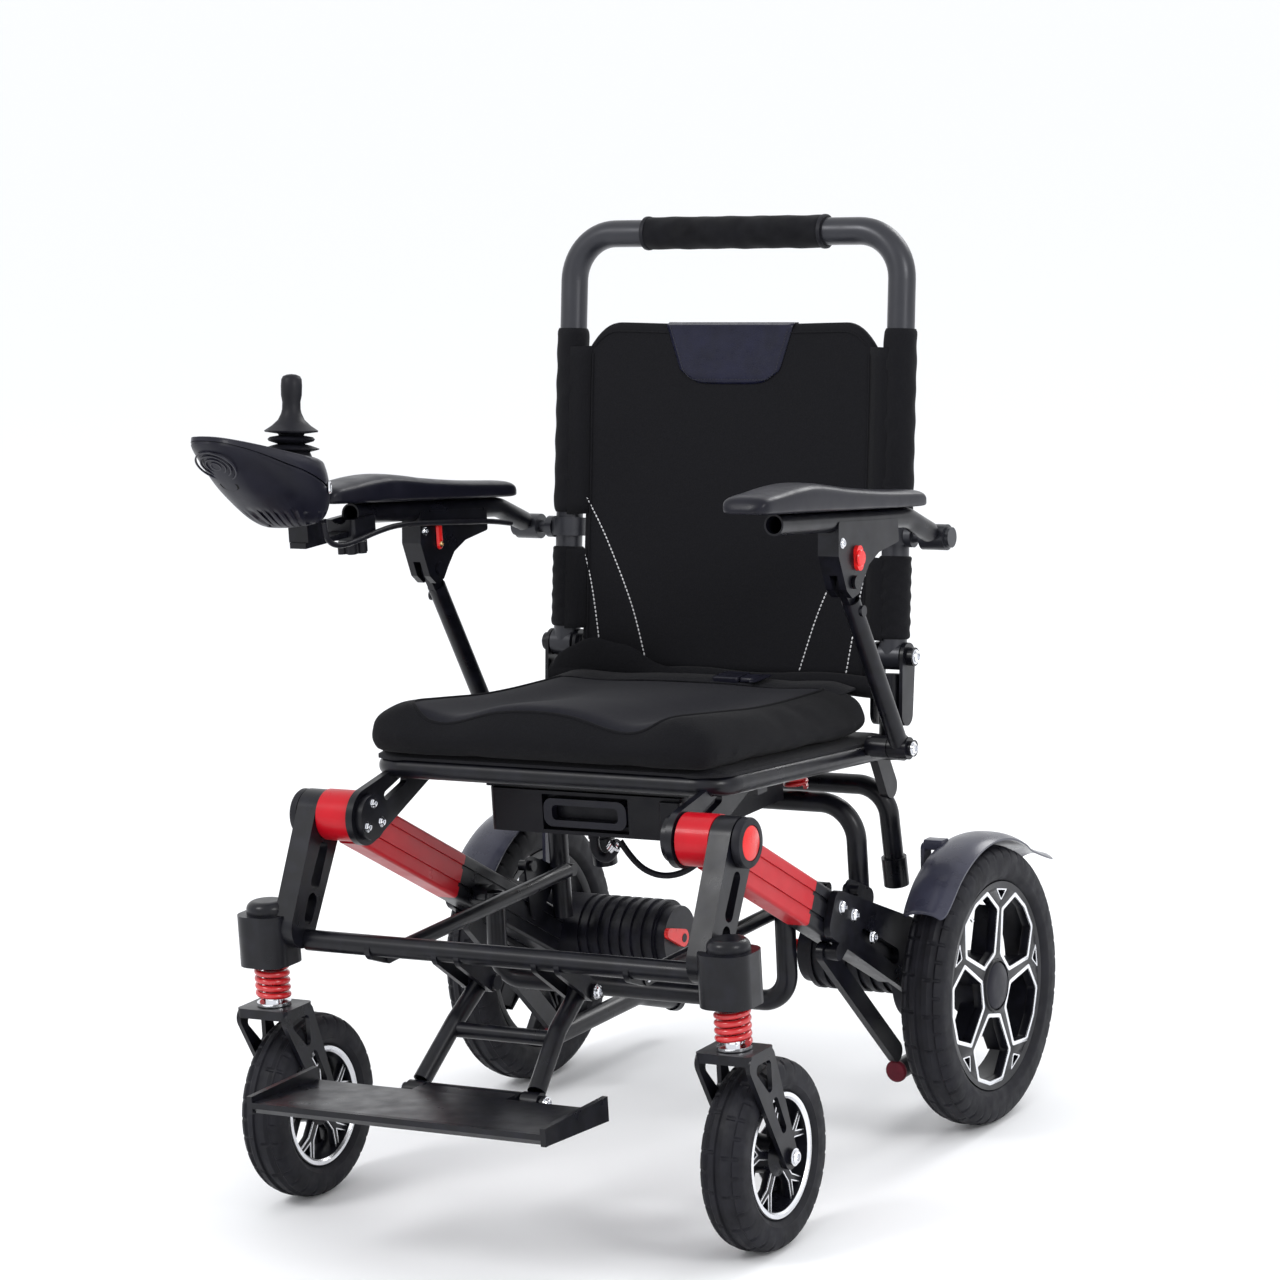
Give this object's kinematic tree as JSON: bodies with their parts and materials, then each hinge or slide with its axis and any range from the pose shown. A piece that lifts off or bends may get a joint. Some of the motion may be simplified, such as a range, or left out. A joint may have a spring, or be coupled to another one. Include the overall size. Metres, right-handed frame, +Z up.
{
  "type": "folding power wheelchair",
  "caption": "Folding power wheelchair with hinged side beams, fold-down back, flip-up armrests, joystick pod, sprung casters, hub-side gear motors and a flip-up footplate.",
  "frame": {"origin": "on the floor, under the middle of the chair's outer box", "axes": "+Z up, the chair faces -Y, +X is the sitter's left"},
  "size_m": [0.622, 0.932, 0.9825],
  "materials": {
    "black_frame": "satin black powder coat with a faint blue cast",
    "grey_tube": "dark grey satin coat",
    "red_paint": "gloss red lacquer",
    "red_plastic": "gloss red moulded plastic",
    "chrome_steel": "polished chrome",
    "black_plastic": "fine textured black plastic",
    "slate_plastic": "slate grey satin plastic",
    "deck_fabric": "woven black fabric",
    "cushion_fabric": "stretch knit over foam",
    "belt_web": "woven webbing",
    "pad_foam": "moulded soft polyurethane",
    "tyre_rubber": "black rubber with tread",
    "motor_cast": "black cast aluminium",
    "foam_grip": "closed-cell foam",
    "cable_sheath": "black PVC lead",
    "rubber_boot": "moulded rubber"
  },
  "bodies": {
    "seat": {"seat_frame": "black_frame", "seat_front_plates": "black_frame", "pivot_axles": "black_frame", "rear_stand": "black_frame", "seat_sling": "deck_fabric", "seat_cushion": "cushion_fabric", "seat_belt": "belt_web", "battery_cable": "cable_sheath"},
    "battery": {"battery_pack": "black_plastic"},
    "battery_grip": {"battery_handle": "black_plastic"},
    "front_frame": {"front_arm_right": "black_frame", "front_arm_left": "black_frame", "front_cross_tube": "black_frame", "caster_spring_right": "red_paint", "caster_spring_left": "red_paint"},
    "rear_frame": {"beam_covers": "red_paint", "side_beams": "black_frame", "axle_plates": "black_frame", "support_arch": "black_frame", "seat_springs": "red_paint", "lower_loop": "black_frame", "gear_motors": "motor_cast", "fenders": "slate_plastic"},
    "diagonal_struts": {"fold_struts": "black_frame"},
    "hangers": {"footrest_hangers": "black_frame"},
    "foot_board": {"footplate": "black_frame"},
    "back": {"back_tube": "grey_tube", "handle_sleeve": "foam_grip", "back_panel": "deck_fabric"},
    "stem_left": {"caster_stem_left": "chrome_steel"},
    "fork_left": {"caster_fork_left": "black_frame"},
    "front_wheel_left": {"caster_wheel_left": "tyre_rubber"},
    "drive_wheel_left": {"rear_wheel_left": "tyre_rubber"},
    "clutch_left": {"freewheel_lever_left": "red_plastic"},
    "strut_left": {"armrest_strut_left": "black_frame"},
    "bracket_left": {"latch_bracket_left": "black_frame"},
    "release_left": {"latch_button_left": "red_plastic"},
    "armrest_left": {"armrest_tube_left": "black_frame", "armrest_pad_left": "pad_foam"},
    "stem_right": {"caster_stem_right": "chrome_steel"},
    "fork_right": {"caster_fork_right": "black_frame"},
    "front_wheel_right": {"caster_wheel_right": "tyre_rubber"},
    "drive_wheel_right": {"rear_wheel_right": "tyre_rubber"},
    "clutch_right": {"freewheel_lever_right": "red_plastic"},
    "strut_right": {"armrest_strut_right": "black_frame"},
    "bracket_right": {"latch_bracket_right": "black_frame"},
    "release_right": {"latch_button_right": "red_plastic"},
    "armrest_right": {"armrest_tube_right": "black_frame", "armrest_pad_right": "pad_foam", "clamp_block": "black_frame", "controller_cable": "cable_sheath"},
    "controller": {"mount_bar": "black_frame", "controller_base": "black_plastic", "controller_top": "black_plastic"},
    "gimbal": {"stick_gimbal": "black_plastic"},
    "stick": {"joystick": "rubber_boot"},
    "knob": {"star_knob": "black_plastic"},
    "power_button_cap": {"power_button": "black_plastic"},
    "speed_down_button_cap": {"speed_down_button": "black_plastic"},
    "speed_up_button_cap": {"speed_up_button": "black_plastic"}
  },
  "joints": [
    {"name": "rear_frame_fold", "type": "hinge", "parent": "seat", "child": "rear_frame", "pos_m": [0, -0.202, 0.409], "axis": [-1, 0, 0], "range_deg": [0, 30]},
    {"name": "front_frame_fold", "type": "hinge", "parent": "seat", "child": "front_frame", "pos_m": [0, -0.202, 0.409], "axis": [1, 0, 0], "range_deg": [0, 14.1]},
    {"name": "strut_fold", "type": "hinge", "parent": "front_frame", "child": "diagonal_struts", "pos_m": [0, -0.23, 0.272], "axis": [1, 0, 0], "range_deg": [-47, 0]},
    {"name": "back_fold", "type": "hinge", "parent": "seat", "child": "back", "pos_m": [0, 0.244, 0.513], "axis": [1, 0, 0], "range_deg": [0, 75]},
    {"name": "battery_slide", "type": "slide", "parent": "seat", "child": "battery", "axis": [0, -1, 0], "range_m": [0, 0.18]},
    {"name": "battery_grip_fold", "type": "hinge", "parent": "battery", "child": "battery_grip", "pos_m": [0, -0.07, 0.385], "axis": [1, 0, 0], "range_deg": [0, 80]},
    {"name": "hanger_swing", "type": "hinge", "parent": "front_frame", "child": "hangers", "pos_m": [0, -0.202, 0.243], "axis": [1, 0, 0], "range_deg": [0, 15]},
    {"name": "footplate_flip", "type": "hinge", "parent": "hangers", "child": "foot_board", "pos_m": [0, -0.318, 0.157], "axis": [-1, 0, 0], "range_deg": [0, 80]},
    {"name": "caster_suspension_left", "type": "slide", "parent": "front_frame", "child": "stem_left", "axis": [0, 0, 1], "range_m": [0, 0.012], "stiffness_N_per_m": 9000, "springref_m": -0.016, "deforming": ["caster_spring_left"]},
    {"name": "caster_swivel_left", "type": "hinge", "parent": "stem_left", "child": "fork_left", "pos_m": [0.274, -0.269, 0.21], "axis": [0, 0, 1], "continuous": true},
    {"name": "caster_spin_left", "type": "hinge", "parent": "fork_left", "child": "front_wheel_left", "pos_m": [0.274, -0.221, 0.0974], "axis": [1, 0, 0], "continuous": true},
    {"name": "drive_spin_left", "type": "hinge", "parent": "rear_frame", "child": "drive_wheel_left", "pos_m": [0.2855, 0.256, 0.152], "axis": [1, 0, 0], "continuous": true},
    {"name": "clutch_turn_left", "type": "hinge", "parent": "rear_frame", "child": "clutch_left", "pos_m": [0.081, 0.251, 0.178], "axis": [-1, 0, 0], "range_deg": [0, 60]},
    {"name": "strut_swing_left", "type": "hinge", "parent": "seat", "child": "strut_left", "pos_m": [0.254, 0.156, 0.432], "axis": [1, 0, 0], "range_deg": [0, 52.6]},
    {"name": "bracket_swing_left", "type": "hinge", "parent": "strut_left", "child": "bracket_left", "pos_m": [0.254, 0.048, 0.628], "axis": [1, 0, 0], "range_deg": [-29, 0]},
    {"name": "release_press_left", "type": "slide", "parent": "bracket_left", "child": "release_left", "axis": [-1, 0, 0], "range_m": [0, 0.003], "stiffness_N_per_m": 900},
    {"name": "armrest_flip_left", "type": "hinge", "parent": "bracket_left", "child": "armrest_left", "pos_m": [0.254, 0.261, 0.641], "axis": [-1, 0, 0], "range_deg": [0, 85]},
    {"name": "caster_suspension_right", "type": "slide", "parent": "front_frame", "child": "stem_right", "axis": [0, 0, 1], "range_m": [0, 0.012], "stiffness_N_per_m": 9000, "springref_m": -0.016, "deforming": ["caster_spring_right"]},
    {"name": "caster_swivel_right", "type": "hinge", "parent": "stem_right", "child": "fork_right", "pos_m": [-0.274, -0.269, 0.21], "axis": [0, 0, 1], "continuous": true},
    {"name": "caster_spin_right", "type": "hinge", "parent": "fork_right", "child": "front_wheel_right", "pos_m": [-0.274, -0.221, 0.0974], "axis": [1, 0, 0], "continuous": true},
    {"name": "drive_spin_right", "type": "hinge", "parent": "rear_frame", "child": "drive_wheel_right", "pos_m": [-0.2855, 0.256, 0.152], "axis": [1, 0, 0], "continuous": true},
    {"name": "clutch_turn_right", "type": "hinge", "parent": "rear_frame", "child": "clutch_right", "pos_m": [-0.081, 0.251, 0.178], "axis": [-1, 0, 0], "range_deg": [0, 60]},
    {"name": "strut_swing_right", "type": "hinge", "parent": "seat", "child": "strut_right", "pos_m": [-0.254, 0.156, 0.432], "axis": [1, 0, 0], "range_deg": [0, 52.6]},
    {"name": "bracket_swing_right", "type": "hinge", "parent": "strut_right", "child": "bracket_right", "pos_m": [-0.254, 0.048, 0.628], "axis": [1, 0, 0], "range_deg": [-29, 0]},
    {"name": "release_press_right", "type": "slide", "parent": "bracket_right", "child": "release_right", "axis": [1, 0, 0], "range_m": [0, 0.003], "stiffness_N_per_m": 900},
    {"name": "armrest_flip_right", "type": "hinge", "parent": "bracket_right", "child": "armrest_right", "pos_m": [-0.254, 0.261, 0.641], "axis": [-1, 0, 0], "range_deg": [0, 85]},
    {"name": "controller_reach", "type": "slide", "parent": "armrest_right", "child": "controller", "axis": [0, -1, 0], "range_m": [0, 0.03]},
    {"name": "stick_pitch", "type": "hinge", "parent": "controller", "child": "gimbal", "pos_m": [-0.254, -0.20041, 0.77244], "axis": [1, 0, 0], "range_deg": [-14, 14], "stiffness_Nm_per_rad": 0.4},
    {"name": "stick_roll", "type": "hinge", "parent": "gimbal", "child": "stick", "pos_m": [-0.254, -0.20041, 0.77244], "axis": [0, 0.9537, -0.3007], "range_deg": [-14, 14], "stiffness_Nm_per_rad": 0.4},
    {"name": "knob_turn", "type": "hinge", "parent": "armrest_right", "child": "knob", "pos_m": [-0.254, -0.096, 0.67], "axis": [0, 0, 1], "range_deg": [0, 360]},
    {"name": "power_button_press", "type": "slide", "parent": "controller", "child": "power_button_cap", "axis": [0, -0.3007, -0.9537], "range_m": [0, 0.0015], "stiffness_N_per_m": 300},
    {"name": "speed_down_button_press", "type": "slide", "parent": "controller", "child": "speed_down_button_cap", "axis": [0, -0.3007, -0.9537], "range_m": [0, 0.0015], "stiffness_N_per_m": 300},
    {"name": "speed_up_button_press", "type": "slide", "parent": "controller", "child": "speed_up_button_cap", "axis": [0, -0.3007, -0.9537], "range_m": [0, 0.0015], "stiffness_N_per_m": 300}
  ],
  "couplings": [
    {"joint": "front_frame_fold", "follows": "rear_frame_fold", "ratio": 0.46667},
    {"joint": "strut_fold", "follows": "rear_frame_fold", "ratio": -1.5533},
    {"joint": "strut_swing_left", "follows": "back_fold", "ratio": 0.7006},
    {"joint": "bracket_swing_left", "follows": "back_fold", "ratio": -0.38633},
    {"joint": "strut_swing_right", "follows": "back_fold", "ratio": 0.7006},
    {"joint": "bracket_swing_right", "follows": "back_fold", "ratio": -0.38633}
  ]
}
